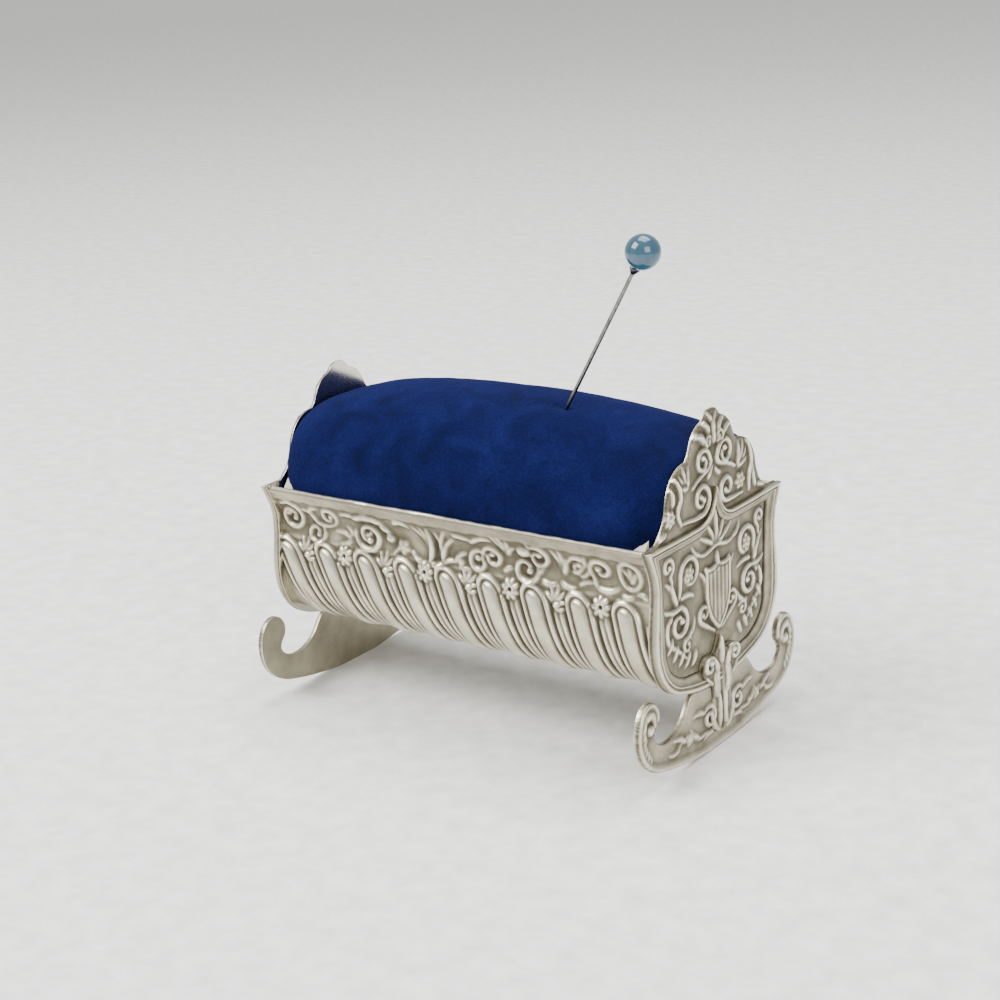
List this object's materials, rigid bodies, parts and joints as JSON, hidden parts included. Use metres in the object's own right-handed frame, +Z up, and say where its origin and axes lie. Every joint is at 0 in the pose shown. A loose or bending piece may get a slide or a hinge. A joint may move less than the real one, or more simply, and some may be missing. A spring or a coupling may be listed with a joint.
{
  "type": "pincushion",
  "caption": "Cradle-shaped silver pincushion: gadrooned trough between scrolled end plates on rockers, with a domed velvet pad and a ball-headed pin that pulls out.",
  "frame": {"origin": "under the middle of the cradle, on the surface that its rockers stand on", "axes": "+X along the cradle towards the end that the pin leans to, -Y out of its front side, +Z up"},
  "size_m": [0.0732, 0.0466, 0.0772],
  "materials": {
    "stamped_silver": "stamped sterling silver, oxidised in the hollows",
    "cast_silver": "cast sterling silver, oxidised in the hollows, worn bright on the edges",
    "board": "bare board",
    "wadding": "packed wool and sawdust",
    "velvet": "short cotton velvet, midnight navy",
    "pin_steel": "bright drawn steel",
    "dark_glass": "dark glass bead, opaque",
    "teal_glass": "opaque slate-teal glass"
  },
  "bodies": {
    "cradle": {"front_panel": "stamped_silver", "back_panel": "stamped_silver", "front_rim_wire": "cast_silver", "back_rim_wire": "cast_silver", "left_end_plate": "cast_silver", "right_end_plate": "cast_silver", "left_end_border": "cast_silver", "right_end_border": "cast_silver", "left_rocker": "cast_silver", "right_rocker": "cast_silver", "base_board": "board", "stuffing_core": "wadding", "velvet_cover": "velvet"},
    "pin": {"pin_shank": "pin_steel", "pin_collar": "dark_glass", "pin_head": "teal_glass"}
  },
  "joints": [
    {"name": "pin_pull", "type": "slide", "parent": "cradle", "child": "pin", "axis": [0.5163, -0.0424, 0.8554], "range_m": [0, 0.016]}
  ]
}
